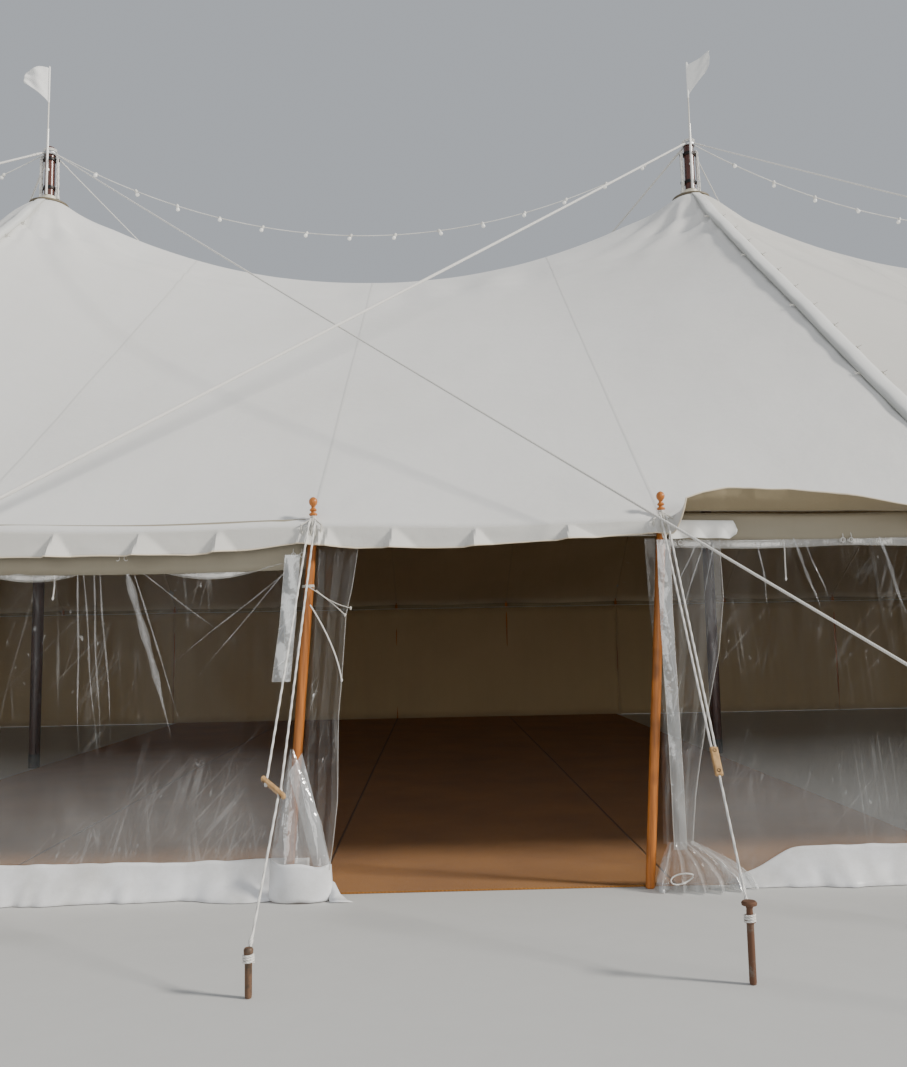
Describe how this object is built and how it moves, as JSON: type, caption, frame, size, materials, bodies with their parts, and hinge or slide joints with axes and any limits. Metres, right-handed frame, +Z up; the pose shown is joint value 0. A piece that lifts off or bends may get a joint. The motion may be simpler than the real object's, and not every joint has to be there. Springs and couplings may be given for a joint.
{
  "type": "marquee tent",
  "caption": "White pole marquee with laced canvas bays, hipped ends, clear front walls, an open doorway with tied-back curtains, guy ropes and stakes",
  "frame": {"origin": "on the ground at the middle of the marquee's length and width, stakes counted in", "axes": "+X along the ridge, to the right as seen from the doorway; -Y out of the doorway; +Z up"},
  "size_m": [39.2689, 17.4304, 8.61],
  "materials": {
    "canvas": "coated white roof cloth",
    "cover": "smooth coated strip",
    "clear": "clear flexible sheet",
    "cream": "cream wall cloth",
    "mahogany": "dark varnish",
    "varnished": "orange-brown varnish",
    "iron": "dark, worn",
    "rope": "white braided rope",
    "coir": "woven coir",
    "lamp": "white cable and lamps"
  },
  "bodies": {
    "root": {"canvas_bay_1": "canvas", "canvas_bay_2": "canvas", "canvas_bay_3": "canvas", "canvas_end_left": "canvas", "canvas_end_right": "canvas", "crown_gear_1": "iron", "crown_gear_2": "iron", "crown_gear_3": "iron", "crown_gear_4": "iron", "door_curtain_left": "clear", "door_curtain_right": "clear", "door_pole_left": "varnished", "door_pole_right": "varnished", "flag_1": "canvas", "flag_2": "canvas", "flag_3": "canvas", "flag_4": "canvas", "floor_matting": "coir", "guy_door_left": "rope", "guy_door_right": "rope", "guys_back": "rope", "guys_end_left": "rope", "guys_end_right": "rope", "guys_front_left": "rope", "guys_front_right": "rope", "king_pole_1": "mahogany", "king_pole_2": "mahogany", "king_pole_3": "mahogany", "king_pole_4": "mahogany", "lacing_cover_back_1": "cover", "lacing_cover_back_2": "cover", "lacing_cover_back_3": "cover", "lacing_cover_back_4": "cover", "lacing_cover_front_1": "cover", "lacing_cover_front_2": "cover", "lacing_cover_front_3": "cover", "lacing_cover_front_4": "cover", "light_string_1": "lamp", "light_string_2": "lamp", "light_string_3": "lamp", "side_poles_back": "varnished", "side_poles_end_left": "varnished", "side_poles_end_right": "varnished", "side_poles_front_left": "varnished", "side_poles_front_right": "varnished", "storm_ropes_1": "rope", "storm_ropes_2": "rope", "storm_ropes_3": "rope", "storm_ropes_4": "rope", "wall_back": "cream", "wall_end_left": "cream", "wall_end_right": "cream", "wall_front_left": "clear", "wall_front_right": "clear"}
  },
  "joints": []
}
